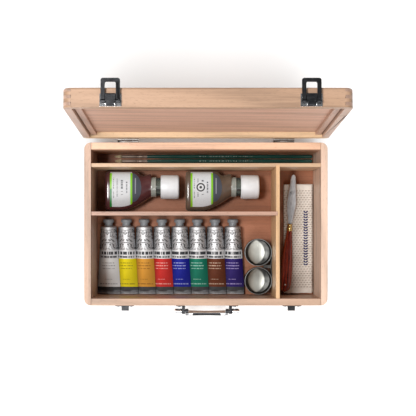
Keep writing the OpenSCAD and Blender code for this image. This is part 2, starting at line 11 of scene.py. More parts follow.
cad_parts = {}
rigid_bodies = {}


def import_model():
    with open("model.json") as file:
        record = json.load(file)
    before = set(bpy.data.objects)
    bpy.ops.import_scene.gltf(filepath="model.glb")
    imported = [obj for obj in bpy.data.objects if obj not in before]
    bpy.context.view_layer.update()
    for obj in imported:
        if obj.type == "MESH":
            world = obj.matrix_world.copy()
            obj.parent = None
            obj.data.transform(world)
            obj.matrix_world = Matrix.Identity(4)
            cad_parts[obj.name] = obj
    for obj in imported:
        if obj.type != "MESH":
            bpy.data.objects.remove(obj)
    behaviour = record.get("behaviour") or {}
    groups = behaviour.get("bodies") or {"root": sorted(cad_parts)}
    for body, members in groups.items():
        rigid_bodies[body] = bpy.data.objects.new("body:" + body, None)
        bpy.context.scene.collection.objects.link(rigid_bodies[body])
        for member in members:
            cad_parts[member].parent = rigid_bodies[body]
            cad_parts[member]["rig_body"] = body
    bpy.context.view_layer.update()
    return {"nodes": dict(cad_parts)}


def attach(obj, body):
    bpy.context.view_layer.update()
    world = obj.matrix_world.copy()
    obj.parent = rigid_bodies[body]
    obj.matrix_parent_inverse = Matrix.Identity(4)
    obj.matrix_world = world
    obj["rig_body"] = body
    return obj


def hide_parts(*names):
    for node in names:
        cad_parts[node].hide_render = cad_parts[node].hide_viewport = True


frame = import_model()
NODES = frame["nodes"]
MM = 0.001
RIM_HEIGHT = 94 * MM
FLOOR_TOP = 4.25
HANDLE_X = 1.9
LEFT_LATCH_X = -110.4
RIGHT_LATCH_X = 117
LID_PIVOT = Vector((0, 115 * MM, RIM_HEIGHT))
OPEN_LID = (Matrix.Translation(LID_PIVOT) @ Matrix.Rotation(math.radians(-94), 4, "X")
            @ Matrix.Translation(Vector((0, -115, 0.2)) * MM))


# ---------- materials ----------


def display(red, green, blue):
    """A colour given as it looks on a screen, 0 to 255, as the linear colour that shaders take."""
    shown = [c / 255 for c in (red, green, blue)]
    return tuple(c / 12.92 if c < 0.0392 else ((c + 0.055) / 1.055) ** 2.4 for c in shown)


class Graph:
    """A new material with short calls for the nodes that the finishes below share."""

    def __init__(self, name):
        self.material = bpy.data.materials.new(name)
        self.material.use_nodes = True
        self.tree = self.material.node_tree
        self.shader = self.tree.nodes["Principled BSDF"]
        coordinates = self.node("ShaderNodeTexCoord")
        self.place = coordinates.outputs["Object"]
        self.normal = coordinates.outputs["Normal"]

    def node(self, kind, inputs=None, **settings):
        made = self.tree.nodes.new(kind)
        for name, value in settings.items():
            setattr(made, name, value)
        for socket, value in (inputs or {}).items():
            self.feed(made.inputs[socket], value)
        return made

    def feed(self, socket, value):
        if isinstance(value, bpy.types.NodeSocket):
            self.tree.links.new(value, socket)
        elif socket.type == "RGBA":
            socket.default_value = (*value, 1)
        else:
            socket.default_value = value

    def math(self, operation, *values):
        return self.node("ShaderNodeMath", dict(enumerate(values)), operation=operation).outputs[0]

    def stretched(self, scale, shift=(0, 0, 0)):
        inputs = {"Vector": self.place, "Scale": scale, "Location": shift}
        return self.node("ShaderNodeMapping", inputs).outputs[0]

    def axis(self, index, vector=None):
        return self.node("ShaderNodeSeparateXYZ", {0: vector or self.place}).outputs[index]

    def joined(self, x, y, z):
        return self.node("ShaderNodeCombineXYZ", {0: x, 1: y, 2: z}).outputs[0]

    def noise(self, place, scale=1.0, detail=2.0, distortion=0.0):
        inputs = {"Vector": place, "Scale": scale, "Detail": detail, "Distortion": distortion}
        return self.node("ShaderNodeTexNoise", inputs).outputs["Fac"]

    def between(self, value, low, high, to_low=0.0, to_high=1.0):
        inputs = {"Value": value, "From Min": low, "From Max": high, "To Min": to_low, "To Max": to_high}
        return self.node("ShaderNodeMapRange", inputs).outputs["Result"]

    def inside(self, value, low, high):
        """1 where value lies between low and high, else 0."""
        above = self.math("GREATER_THAN", value, low)
        return self.math("MULTIPLY", above, self.math("LESS_THAN", value, high))

    def dashes(self, scale, shift, level):
        """Uneven blocks, 1 where a noise field is above that level, else 0."""
        return self.math("GREATER_THAN", self.noise(self.stretched(scale, shift), detail=1), level)

    def ramp(self, factor, *stops):
        made = self.node("ShaderNodeValToRGB", {"Fac": factor})
        elements = made.color_ramp.elements
        while len(elements) < len(stops):
            elements.new(1.0)
        for element, (position, colour) in zip(elements, stops):
            element.position = position
            element.color = (*colour, 1)
        return made.outputs["Color"]

    def mix(self, factor, a, b, blend="MIX"):
        made = self.node("ShaderNodeMix", {0: factor, 6: a, 7: b}, data_type="RGBA", blend_type=blend)
        return made.outputs[2]

    def bump(self, height, distance):
        """Adds relief of that many metres over whatever relief is there already."""
        inputs = {"Height": height, "Distance": distance}
        links = self.shader.inputs["Normal"].links
        if links:
            inputs["Normal"] = links[0].from_socket
        self.feed(self.shader.inputs["Normal"], self.node("ShaderNodeBump", inputs).outputs[0])

    def finish(self, **values):
        for name, value in values.items():
            self.feed(self.shader.inputs[name.replace("_", " ")], value)
        return self.material


def wood(name, grain, base, seed, darker=0.72, gloss=0.46, sheen=0.5):
    """Satin beech whose grain runs along one axis, with growth bands, fibres, short flecks and end grain."""
    g = Graph(name)
    along = "XYZ".index(grain)
    shift = (seed * 3.7, seed * 5.3, seed * 2.9)

    def grained(length, width):
        scale = [width] * 3
        scale[along] = length
        return g.stretched(scale, shift)

    dark = tuple(c * darker for c in base)
    pale = tuple(min(1.0, c * 1.1 + 0.012) for c in base)
    bands = g.noise(grained(5, 75), detail=2, distortion=0.8)
    streaks = g.noise(grained(16, 420), detail=3)
    fibres = g.noise(grained(70, 2400), detail=2)
    figure = g.node("ShaderNodeTexWave", {
        "Vector": grained(2.2, 26), "Scale": 1.0, "Distortion": 7.0, "Detail": 2.0, "Detail Scale": 1.2,
    }, bands_direction="DIAGONAL").outputs["Fac"]
    tone = g.math("ADD", g.math("MULTIPLY", bands, 0.3), g.math("MULTIPLY", streaks, 0.34))
    tone = g.math("ADD", tone, g.math("MULTIPLY", fibres, 0.18))
    tone = g.math("ADD", tone, g.math("MULTIPLY", figure, 0.18))
    colour = g.ramp(tone, (0.33, dark), (0.48, base), (0.66, pale))
    flecks = g.between(g.noise(grained(210, 1700), detail=1), 0.63, 0.72)
    colour = g.mix(g.math("MULTIPLY", flecks, 0.4), colour, tuple(c * 0.5 for c in base))

    facing = g.math("ABSOLUTE", g.axis(along, g.normal))
    end = g.between(facing, 0.75, 0.95)
    pores = g.noise(g.place, 2600, detail=2)
    rings = g.noise(g.stretched((160, 160, 160), shift), detail=2, distortion=1.5)
    end_tone = g.math("ADD", g.math("MULTIPLY", pores, 0.5), g.math("MULTIPLY", rings, 0.5))
    end_colour = g.ramp(end_tone, (0.34, tuple(c * 0.5 for c in base)), (0.64, tuple(c * 0.8 for c in base)))
    colour = g.mix(end, colour, end_colour)

    g.bump(g.math("SUBTRACT", g.math("MULTIPLY", fibres, 0.5), flecks), 0.00008)
    roughness = g.between(streaks, 0.3, 0.7, gloss - 0.06, gloss + 0.08)
    return g.finish(Base_Color=colour, Roughness=roughness, Specular_IOR_Level=sheen,
                    Coat_Weight=0.16 * sheen, Coat_Roughness=0.3)


def metal(name, colour, roughness, brush_axis=0, wear=0.25):
    """Plated or bare metal with fine brushing, cloudy tarnish and small pits."""
    g = Graph(name)
    scale = [2600.0] * 3
    scale[brush_axis] = 120.0
    brushed = g.noise(g.stretched(scale), detail=2)
    cloud = g.noise(g.place, 190, detail=4)
    pits = g.between(g.noise(g.place, 1700, detail=1), 0.7, 0.78, 0.0, 4 * wear)
    tone = g.ramp(cloud, (0.3, tuple(c * (1 - wear) for c in colour)), (0.65, colour))
    tone = g.mix(g.math("MULTIPLY", pits, 0.5), tone, tuple(c * 0.35 for c in colour))
    rough = g.between(g.math("ADD", brushed, cloud), 0.7, 1.3, roughness * 0.8, roughness * 1.35)
    g.bump(g.math("SUBTRACT", brushed, pits), 0.000012)
    return g.finish(Base_Color=tone, Metallic=1.0, Roughness=rough)


def spun_cup(name):
    """Tin-plated cups with painted light: painted shade on the walls, a painted highlight on the rolled rim
    and a lens-shaped painted reflection inside, crossed by a darker painted streak.
    """
    g = Graph(name)
    across = g.math("SUBTRACT", g.axis(0), (CUP_X - 1.6) * MM)
    centre = (CUP_BACK_Y + CUP_FRONT_Y) / 2 * MM
    half_gap = (CUP_BACK_Y - CUP_FRONT_Y) / 2 * MM
    along = g.math("SUBTRACT", g.math("ABSOLUTE", g.math("SUBTRACT", g.axis(1), centre)), half_gap)
    # painted reflection: a lens-shaped lighter patch where two offset circles overlap, below the rim
    lens = 1.0
    for side in (-1, 1):
        off = g.joined(g.math("ADD", across, side * 7.2 * MM), along, 0.0)
        distance = g.node("ShaderNodeVectorMath", {0: off}, operation="LENGTH").outputs["Value"]
        lens = g.math("MULTIPLY", lens, g.between(distance, 17.6 * MM, 19.6 * MM, 1.0, 0.0))
    lens = g.math("MULTIPLY", lens, g.math("LESS_THAN", g.axis(2), 22 * MM))
    rings = g.noise(g.stretched((160, 160, 2600)), detail=2)
    cloud = g.noise(g.place, 110, detail=3)
    # painted shade: the walls take a near-black metal colour
    wall = g.ramp(cloud, (0.3, (0.03, 0.03, 0.029)), (0.7, (0.085, 0.085, 0.08)))
    # painted reflection: a darker streak runs down the lens
    painted_dark_streak = g.between(g.math("ABSOLUTE", g.math("SUBTRACT", across, 3.5 * MM)), 0.0, 9.0 * MM)
    bright = g.mix(painted_dark_streak, (0.3, 0.3, 0.275), (0.5, 0.5, 0.455))
    # painted highlight: the rolled rim takes a lighter metal colour than the walls
    rim = g.math("GREATER_THAN", g.axis(2), 24.2 * MM)
    g.bump(rings, 0.00002)
    tone = g.mix(rim, g.mix(lens, wall, bright), (0.22, 0.22, 0.215))
    return g.finish(Base_Color=tone, Metallic=1.0, Roughness=g.between(rings, 0.3, 0.7, 0.38, 0.5))


def plastic(name, colour, roughness=0.35):
    """Moulded plastic with a faint orange peel and handling marks."""
    g = Graph(name)
    cloud = g.noise(g.place, 130, detail=3)
    grain = g.noise(g.place, 1500, detail=2)
    tone = g.ramp(cloud, (0.3, tuple(c * 0.93 for c in colour)), (0.7, colour))
    scuffs = g.between(g.noise(g.stretched((400, 90, 400)), detail=3), 0.6, 0.8)
    g.bump(grain, 0.00002)
    rough = g.math("ADD", roughness, g.math("MULTIPLY", scuffs, 0.2))
    return g.finish(Base_Color=tone, Roughness=rough)


def lacquer(name, colour, marks=None):
    """Glossy lacquer over a wooden handle, with a faint orange peel and, if asked, a row of plain dashes."""
    g = Graph(name)
    cloud = g.noise(g.stretched((30, 300, 300)), detail=3)
    tone = g.ramp(cloud, (0.3, tuple(c * 0.75 for c in colour)), (0.7, tuple(c * 1.3 for c in colour)))
    if marks:
        dashes = g.dashes((700, 0, 0), (0, 0, 0), 0.52)
        row = g.inside(g.axis(1), -0.0006, 0.0006)
        area = g.math("MULTIPLY", row, g.inside(g.axis(0), *marks))
        tone = g.mix(g.math("MULTIPLY", area, g.math("MULTIPLY", dashes, 0.6)), tone, display(190, 200, 190))
    g.bump(g.noise(g.place, 420, detail=2), 0.00003)
    return g.finish(Base_Color=tone, Roughness=g.between(cloud, 0.2, 0.8, 0.16, 0.28), Coat_Weight=0.6)


def filled_glass(name, colour, edge, clear=0.0):
    """Clear moulded wall over its contents: paler towards the silhouette, where only the wall is seen."""
    g = Graph(name)
    cloud = g.noise(g.place, 55, detail=3)
    tone = g.ramp(cloud, (0.3, tuple(c * 0.72 for c in colour)), (0.7, colour))
    rim = g.node("ShaderNodeLayerWeight", {"Blend": 0.3}).outputs["Facing"]
    tone = g.mix(g.between(rim, 0.35, 0.9), tone, edge)
    g.bump(g.noise(g.place, 240, detail=2), 0.00004)
    rough = g.between(cloud, 0.2, 0.8, 0.16, 0.26)
    return g.finish(Base_Color=tone, Roughness=rough, Coat_Weight=0.45, Coat_Roughness=0.16,
                    Transmission_Weight=clear, IOR=1.47)


def label_paper(name, front_stripe, ring):
    """Coated label with green stripes, a slate half-round panel and plain dashes in place of wording."""
    g = Graph(name)
    x = g.axis(0)
    y = g.axis(1)
    fibre = g.noise(g.place, 900, detail=3)
    tone = g.ramp(fibre, (0.3, display(188, 192, 196)), (0.7, display(206, 208, 210)))
    for low, high, scale, strength in ((0.0118, 0.0130, 900, 0.85), (0.0166, 0.0186, 700, 0.6),
                                       (0.0228, 0.0256, 420, 0.95), (0.0300, 0.0320, 620, 0.95)):
        dashes = g.dashes((0, scale, 0), (low * 900, 0, 0), 0.47)
        column = g.math("MULTIPLY", g.inside(x, low, high),
                        g.inside(y, -0.021 + low * 0.4, 0.016 - low * 0.3))
        mask = g.math("MULTIPLY", column, g.math("MULTIPLY", dashes, strength))
        tone = g.mix(mask, tone, display(60, 64, 70))
    if ring:
        across = g.math("POWER", g.math("SUBTRACT", x, 0.0215), 2.0)
        down = g.math("POWER", g.math("SUBTRACT", y, -0.001), 2.0)
        distance = g.math("SQRT", g.math("ADD", across, down))
        tone = g.mix(g.math("LESS_THAN", distance, 0.0078), tone, display(204, 206, 208))
        tone = g.mix(g.inside(distance, 0.0042, 0.0061), tone, display(16, 16, 20))
        tone = g.mix(g.math("LESS_THAN", distance, 0.0019), tone, display(16, 16, 20))
    lime = display(122, 190, 22)
    stripe = g.ramp(g.between(y, -0.012, 0.006), (0.45, front_stripe), (0.55, lime))
    below_band = g.math("LESS_THAN", y, 0.0192)
    tone = g.mix(g.math("MULTIPLY", below_band, g.inside(x, 0.0, 0.0100)), tone, stripe)
    tone = g.mix(g.math("MULTIPLY", below_band, g.inside(x, 0.0360, 0.0388)), tone, lime)
    tone = g.mix(g.math("MULTIPLY", below_band, g.math("GREATER_THAN", x, 0.0388)), tone, display(70, 74, 84))
    arc = g.math("MULTIPLY", g.inside(x, 0.0425, 0.0437), g.inside(y, -0.010, 0.012))
    tone = g.mix(g.math("MULTIPLY", arc, 0.55), tone, display(190, 194, 204))
    g.bump(fibre, 0.00001)
    return g.finish(Base_Color=tone, Roughness=g.between(fibre, 0.3, 0.7, 0.28, 0.4))


# Rows of dashes on a tube, metres from its shoulder: low, high, dashes per metre, half length and strength.
TUBE_DASHES = (
    (-0.0394, -0.0350, 420, 0.0122, 0.96),
    (-0.0440, -0.0414, 620, 0.0118, 0.92),
    (-0.0522, -0.0508, 640, 0.0085, 0.6),
    (-0.0562, -0.0548, 700, 0.0095, 0.65),
    (-0.0602, -0.0590, 560, 0.0090, 0.6),
    (-0.0758, -0.0748, 900, 0.0055, 0.5),
    (-0.0828, -0.0812, 800, 0.0130, 0.6),
)


def tube_print(name, colour, ink, seed):
    """A printed aluminium tube: embossed bare shoulder with painted shade in its grooves, white band, colour
    band and bare crimp painted darker towards the body, all with painted shade towards both side edges.
    """
    g = Graph(name)
    x = g.axis(0)
    y = g.axis(1)
    side = g.math("ABSOLUTE", x)
    brushed = g.noise(g.stretched((2000, 160, 2000)), detail=2)
    cloud = g.noise(g.place, 150, detail=3)
    bare = g.ramp(g.math("ADD", g.math("MULTIPLY", cloud, 0.6), g.math("MULTIPLY", brushed, 0.4)),
                  (0.35, (0.64, 0.64, 0.645)), (0.65, (0.78, 0.78, 0.785)))
    # painted shade: the bare crimp's metal is lighter at its end and near-black towards the body
    crimp = g.ramp(g.between(y, -0.097, -0.0863), (0.1, (0.3, 0.3, 0.305)), (0.6, (0.07, 0.07, 0.072)))
    bare = g.mix(g.math("LESS_THAN", y, -0.0863), bare, crimp)

    swirl = g.noise(g.joined(side, y, 0.0), 170, detail=0, distortion=1.0)
    scroll = g.between(g.math("ABSOLUTE", g.math("SINE", g.math("MULTIPLY", swirl, 9.0))), 0.25, 0.6)
    relief = g.math("MULTIPLY", scroll, g.inside(y, -0.0325, -0.003))
    # painted shade: the grooves of the embossed scroll on the bare shoulder are filled near-black
    painted_groove_shade = g.math("MULTIPLY", g.math("SUBTRACT", 1.0, scroll), g.inside(y, -0.0322, -0.0025))
    bare = g.mix(g.math("MULTIPLY", painted_groove_shade, 0.8), bare, (0.05, 0.05, 0.052))

    printed = g.inside(y, -0.0863, -0.0329)
    paint = g.mix(g.math("LESS_THAN", y, -0.0453), display(216, 216, 216), colour)
    for low, high, scale, reach, strength in TUBE_DASHES:
        bars = g.dashes((scale, 0, 0), (seed + low * 3000, 0, 0), 0.455)
        row = g.math("MULTIPLY", g.inside(y, low, high), g.math("LESS_THAN", side, reach))
        mask = g.math("MULTIPLY", row, g.math("MULTIPLY", bars, strength))
        paint = g.mix(mask, paint, display(36, 38, 44) if low > -0.045 else ink)
    tone = g.mix(printed, bare, paint)
    # painted shade: the tube's colour is multiplied darker towards both side edges, most on its left
    across = g.math("DIVIDE", x, g.between(y, -0.093, 0.0, CRIMP_HALF * MM, TUBE_RADIUS * MM))
    wear_and_painted_edge_shade = g.ramp(g.between(across, -1.0, 1.0),
                  (0.0, (0.36, 0.36, 0.37)), (0.42, (1, 1, 1)), (1.0, (0.62, 0.62, 0.63)))
    tone = g.mix(1.0, tone, wear_and_painted_edge_shade, blend="MULTIPLY")

    g.bump(relief, 0.0003)
    g.bump(g.noise(g.place, 240, detail=2), 0.0001)
    rough = g.between(cloud, 0.3, 0.7, 0.54, 0.64)
    return g.finish(Base_Color=tone, Metallic=g.math("SUBTRACT", 1.0, g.math("MULTIPLY", printed, 0.9)),
                    Roughness=rough, Specular_IOR_Level=0.25)


def waffle_cloth(name):
    """Undyed cotton in a waffle weave, with painted shade darkening its pits, and fine threads."""
    g = Graph(name)
    threads = g.noise(g.stretched((5200, 1300, 1300)), detail=2)
    cloud = g.noise(g.place, 70, detail=3)
    tone = g.ramp(g.math("ADD", g.math("MULTIPLY", threads, 0.45), g.math("MULTIPLY", cloud, 0.55)),
                  (0.35, display(188, 180, 170)), (0.62, display(215, 208, 199)))
    pit = g.node("ShaderNodeAttribute", attribute_name="pit").outputs["Fac"]
    # painted shade: the weave's pits are darkened brown
    tone = g.mix(g.math("MULTIPLY", pit, 0.95), tone, display(118, 100, 82))
    g.bump(threads, 0.00016)
    return g.finish(Base_Color=tone, Roughness=g.between(threads, 0.3, 0.7, 0.82, 0.95), Sheen_Weight=0.25)


def thread(name, colour):
    """Twisted embroidery thread."""
    g = Graph(name)
    twist = g.noise(g.stretched((2500, 900, 2500)), detail=2)
    tone = g.ramp(twist, (0.35, tuple(c * 0.6 for c in colour)),
                  (0.65, tuple(min(1, c * 1.5) for c in colour)))
    g.bump(twist, 0.0001)
    return g.finish(Base_Color=tone, Roughness=g.between(twist, 0.3, 0.7, 0.55, 0.75))


def bristle_hair(name):
    """Natural bristle, with painted shade darkening it at the root."""
    g = Graph(name)
    strand = g.noise(g.stretched((120, 3000, 3000)), detail=1)
    tone = g.ramp(strand, (0.3, display(176, 150, 104)), (0.7, display(236, 222, 186)))
    # painted shade: the bristles darken over their last 4 mm, where they enter the ferrule
    root = g.between(g.axis(0), (BRISTLES - 4) * MM, BRISTLES * MM)
    tone = g.mix(g.math("MULTIPLY", root, 0.8), tone, display(70, 52, 36))
    g.bump(strand, 0.00003)
    return g.finish(Base_Color=tone, Roughness=g.between(strand, 0.3, 0.7, 0.45, 0.65))


def stained_wood(name):
    """Red-brown hardwood handle under varnish, grain along Y."""
    g = Graph(name)
    bands = g.noise(g.stretched((420, 22, 420)), detail=3, distortion=0.5)
    fibres = g.noise(g.stretched((2600, 90, 2600)), detail=2)
    tone = g.ramp(g.math("ADD", g.math("MULTIPLY", bands, 0.7), g.math("MULTIPLY", fibres, 0.3)),
                  (0.34, display(38, 8, 2)), (0.5, display(112, 30, 8)), (0.66, display(172, 62, 22)))
    g.bump(fibres, 0.00004)
    return g.finish(Base_Color=tone, Roughness=g.between(fibres, 0.3, 0.7, 0.2, 0.32), Coat_Weight=0.5)


def studio_floor(name):
    """The pale seamless floor, with the faintest clouding."""
    g = Graph(name)
    cloud = g.noise(g.place, 3, detail=3)
    tone = g.ramp(cloud, (0.3, (0.86, 0.86, 0.86)), (0.7, (0.9, 0.9, 0.9)))
    return g.finish(Base_Color=tone, Roughness=0.6)


# ---------- building meshes ----------


def new_object(name, data):
    made = bpy.data.objects.new(name, data)
    bpy.context.scene.collection.objects.link(made)
    return made


def squared(value, power):
    """A sine or cosine raised to a power with its sign kept, which squares a circle."""
    return math.copysign(abs(value) ** power, value)


def add_piece(name, shape, body, material, stands_for=(), place=None, smooth_below=50):
    """A mesh piece from points (in millimetres) and faces, which rides on a body and stands for CAD nodes."""
    points, faces = shape
    mesh = bpy.data.meshes.new(name)
    mesh.from_pydata([Vector(p) * MM for p in points], [], faces)
    mesh.materials.append(material)
    shade(mesh, smooth_below)
    piece = new_object(name, mesh)
    piece.matrix_world = place or Matrix.Identity(4)
    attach(piece, body)
    if stands_for:
        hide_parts(*stands_for)
    return piece


def shade(mesh, smooth_below):
    """Smooth shading, with edges sharper than that many degrees kept hard, and faces pointing outward."""
    work = bmesh.new()
    work.from_mesh(mesh)
    bmesh.ops.recalc_face_normals(work, faces=work.faces)
    work.to_mesh(mesh)
    work.free()
    mesh.polygons.foreach_set("use_smooth", [True] * len(mesh.polygons))
    mesh.set_sharp_from_angle(angle=math.radians(smooth_below))


def loft(rings):
    """Points and faces of a skin over rings of equal length, with both ends capped."""
    count = len(rings[0])
    points = [p for ring in rings for p in ring]
    faces = []
    for r in range(len(rings) - 1):
        for i in range(count):
            j = (i + 1) % count
            a, b = r * count, (r + 1) * count
            faces.append((a + i, a + j, b + j, b + i))
    faces.append(tuple(range(count)))
    faces.append(tuple((len(rings) - 1) * count + i for i in range(count)))
    return points, faces


def turned(profile, sides=48, ribs=0, rib_height=0.0, ribbed=None):
    """A solid of revolution about local X from (along, radius) pairs, with ribs between two stations."""
    rings = []
    for along, radius in profile:
        ring = []
        for i in range(sides):
            angle = 2 * math.pi * i / sides
            r = radius
            if ribs and ribbed[0] <= along <= ribbed[1]:
                r -= rib_height * (0.5 - 0.5 * math.cos(ribs * angle))
            ring.append((along, r * math.cos(angle), r * math.sin(angle)))
        rings.append(ring)
    return loft(rings)


def bezier(a, b, c, d, t):
    """A point on a cubic curve; the four arguments are pairs."""
    s = 1 - t
    weights = (s ** 3, 3 * s * s * t, 3 * s * t * t, t ** 3)
    return tuple(sum(w * p[k] for w, p in zip(weights, (a, b, c, d))) for k in range(2))


def merged(parts):
    """Several (points, faces) pairs as one."""
    points, faces = [], []
    for more_points, more_faces in parts:
        start = len(points)
        points += more_points
        faces += [tuple(start + i for i in face) for face in more_faces]
    return points, faces


def softened(node, width, material):
    """A copy of a CAD node with its hard edges rounded by that many millimetres, standing for the node."""
    work = bmesh.new()
    work.from_mesh(NODES[node].data)
    bmesh.ops.remove_doubles(work, verts=work.verts, dist=1e-6)
    bmesh.ops.dissolve_limit(work, angle_limit=math.radians(1), verts=work.verts, edges=work.edges)
    hard = [edge for edge in work.edges if len(edge.link_faces) == 2
            and edge.calc_face_angle(0) > math.radians(32) and edge.calc_length() > 1.6 * width * MM]
    bmesh.ops.bevel(work, geom=hard, offset=width * MM, offset_type="OFFSET", segments=2, profile=0.5,
                    affect="EDGES", clamp_overlap=False)
    mesh = bpy.data.meshes.new(node + "_finished")
    work.to_mesh(mesh)
    work.free()
    mesh.materials.append(material)
    mesh.polygons.foreach_set("use_smooth", [True] * len(mesh.polygons))
    mesh.set_sharp_from_angle(angle=math.radians(50))
    piece = new_object(node + "_finished", mesh)
    piece.modifiers.new("even_shading", "WEIGHTED_NORMAL").keep_sharp = True
    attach(piece, NODES[node]["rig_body"])
    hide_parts(node)
    return piece


# ---------- box and lid ----------

BOARDS = {
    "base_front_wall": ("X", display(184, 151, 127)),
    "base_back_wall": ("X", display(221, 178, 147)),
    "base_left_wall": ("Y", display(192, 158, 135)),
    "base_right_wall": ("Y", display(217, 186, 164)),
    "brush_divider": ("X", display(196, 163, 130)),
    "cross_divider": ("Y", display(208, 168, 124)),
    "short_divider": ("X", display(180, 142, 122)),
    "lid_front_rail": ("X", display(177, 142, 115)),
    "lid_back_rail": ("X", display(212, 180, 142)),
    "lid_left_rail": ("Z", display(188, 154, 134)),
    "lid_right_rail": ("Z", display(188, 154, 134)),
    "lid_strips": ("Z", display(180, 142, 122)),
}
SHEETS_OF_PLY = {
    # the floor's darker tone is partly the ply's own colour and partly painted shade standing in for the
    # shade deep in the bays
    "base_floor": ("X", display(150, 96, 68)),
    "lid_panel": ("X", display(198, 160, 134)),
    "lid_inner_board": ("X", display(205, 164, 143)),
}


def make_boards():
    for seed, (node, (grain, colour)) in enumerate(BOARDS.items()):
        softened(node, 0.35, wood(node + "_beech", grain, colour, seed))
    for seed, (node, (grain, colour)) in enumerate(SHEETS_OF_PLY.items()):
        ply = wood(node + "_ply", grain, colour, 40 + seed, darker=0.78, gloss=0.5, sheen=0.25)
        softened(node, 0.2, ply)


# ---------- hardware ----------


def make_hardware():
    bright = metal("bright_nickel", (0.78, 0.78, 0.79), 0.16)
    dark = metal("dark_nickel", (0.05, 0.051, 0.054), 0.32)
    wear_and_painted_edge_shade = metal("hinge_steel", (0.2, 0.185, 0.175), 0.34)
    for node, width in (("handle_pins", 0.2), ("handle_grip", 0.3), ("latch_plates", 0.15),
                        ("hinge_pins", 0.1), ("latch_pins", 0.1), ("lid_retaining_pin", 0.15),
                        ("base_screws", 0.08), ("lid_screws", 0.08)):
        softened(node, width, bright)
    for node, width in (("latch_keepers", 0.15), ("handle_brackets", 0.25), ("left_latch_lever", 0.2),
                        ("right_latch_lever", 0.2), ("left_latch_loop", 0.35), ("right_latch_loop", 0.35)):
        softened(node, width, dark)
    for node in ("hinge_base_leaves", "hinge_lid_leaves"):
        softened(node, 0.15, wear_and_painted_edge_shade)
    darken_arms_and_paint_grip_reflection(bpy.data.objects["handle_grip_finished"], dark)
    for side, x in (("left", LEFT_LATCH_X), ("right", RIGHT_LATCH_X)):
        make_lever_ribs(side, x, dark)


def darken_arms_and_paint_grip_reflection(grip, dark):
    """The grip is bright at its ends; its arms take the dark nickel, and so does the outer side of its
    middle, as a painted dark reflection on the chrome.
    """
    grip.data.materials.append(dark)
    for polygon in grip.data.polygons:
        centre = polygon.center / MM
        off = abs(centre.x - HANDLE_X)
        arm = off > 25 and centre.z > 37.5
        # painted reflection: the outward faces of the grip's middle take the dark nickel
        painted_dark_reflection = off < 19 and polygon.normal.y < 0.1
        if arm or painted_dark_reflection:
            polygon.material_index = 1


def make_lever_ribs(side, x, dark):
    """Grip ribs across the front of a latch lever, placed on the open lid."""
    ribs = []
    for height in (7.0, 8.6, 10.2, 11.8):
        points, faces = turned([(-5.3, 0.05), (-5.1, 0.4), (5.1, 0.4), (5.3, 0.05)], sides=12)
        ribs.append(([(px + x, py - 110.5 - 6.2, pz + height) for px, py, pz in points], faces))
    lever = f"{side}_latch_lever"
    add_piece(lever + "_ribs", merged(ribs), lever, dark, place=OPEN_LID)


# ---------- paint tubes ----------

TUBE_LENGTH = 93
TUBE_RADIUS = 11.3
CRIMP_HALF = 16.8
TUBE_PITCH = 25.4
LAST_TUBE_X = 39.3
TUBES = (
    ("white", display(226, 226, 224), display(90, 92, 96)),
    ("yellow", display(222, 203, 0), display(70, 66, 10)),
    ("orange", display(208, 146, 48), display(96, 56, 16)),
    ("red", display(196, 40, 34), display(250, 190, 180)),
    ("blue", display(4, 20, 140), display(180, 190, 240)),
    ("green", display(0, 112, 88), display(180, 226, 210)),
    ("brown", display(96, 44, 18), display(226, 196, 170)),
    ("violet", display(38, 18, 98), display(196, 180, 236)),
)


def tube_place(number):
    """The frame of a tube: its axis along local Y, its shoulder at the origin, rolled onto its neighbour."""
    x = LAST_TUBE_X - (8 - number) * TUBE_PITCH
    turn = Matrix.Rotation(math.radians(4.85), 4, "X") @ Matrix.Rotation(math.radians(-7), 4, "Y")
    return Matrix.Translation(Vector((x, -3.6, 15.6)) * MM) @ turn


def tube_ring(t, number, sides):
    """One ring of the tube's wall: round at the shoulder and a flat lens at the crimp, with soft dents."""
    half_width = (1 - t) * TUBE_RADIUS + t * CRIMP_HALF
    half_height = (1 - t) * TUBE_RADIUS + t * 1.15
    sharpness = 1 + min(1, 2.5 * t)
    ring = []
    for i in range(sides):
        a = 2 * math.pi * i / sides
        x = half_width * math.cos(a)
        z = half_height * squared(math.sin(a), sharpness)
        y = -t * TUBE_LENGTH
        dent = 0.5 * min(1, 6 * t) * max(0, noise.noise(Vector((x * 0.11, y * 0.07 + number * 9, z * 0.1))))
        squeeze = 1 - dent / max(half_height, 4)
        ring.append((x, y, z * squeeze))
    return ring


def crimp_rings(sides):
    """The folded end: two turns of a flattened seam."""
    rings = []
    for y, half_thick in ((-93.2, 1.0), (-93.4, 1.45), (-94.6, 1.5), (-95.0, 1.15), (-95.3, 1.5),
                          (-96.7, 1.45), (-97.0, 0.9)):
        ring = []
        for i in range(sides):
            a = 2 * math.pi * i / sides
            x = CRIMP_HALF * squared(math.cos(a), 0.6)
            z = half_thick * squared(math.sin(a), 0.45) * 0.86
            ring.append((x, y, z))
        rings.append(ring)
    return rings


def shoulder_rings(sides):
    """From the nozzle's end back to the tube's round end."""
    rings = []
    angles = [2 * math.pi * i / sides for i in range(sides)]
    for y, radius in ((9.0, 3.6), (8.6, 4.0), (2.0, 4.0), (1.9, 5.6), (1.6, 5.9), (0.75, 9.6),
                      (0.45, 10.7), (0.1, 11.15)):
        rings.append([(radius * math.cos(a), y, radius * math.sin(a)) for a in angles])
    return rings


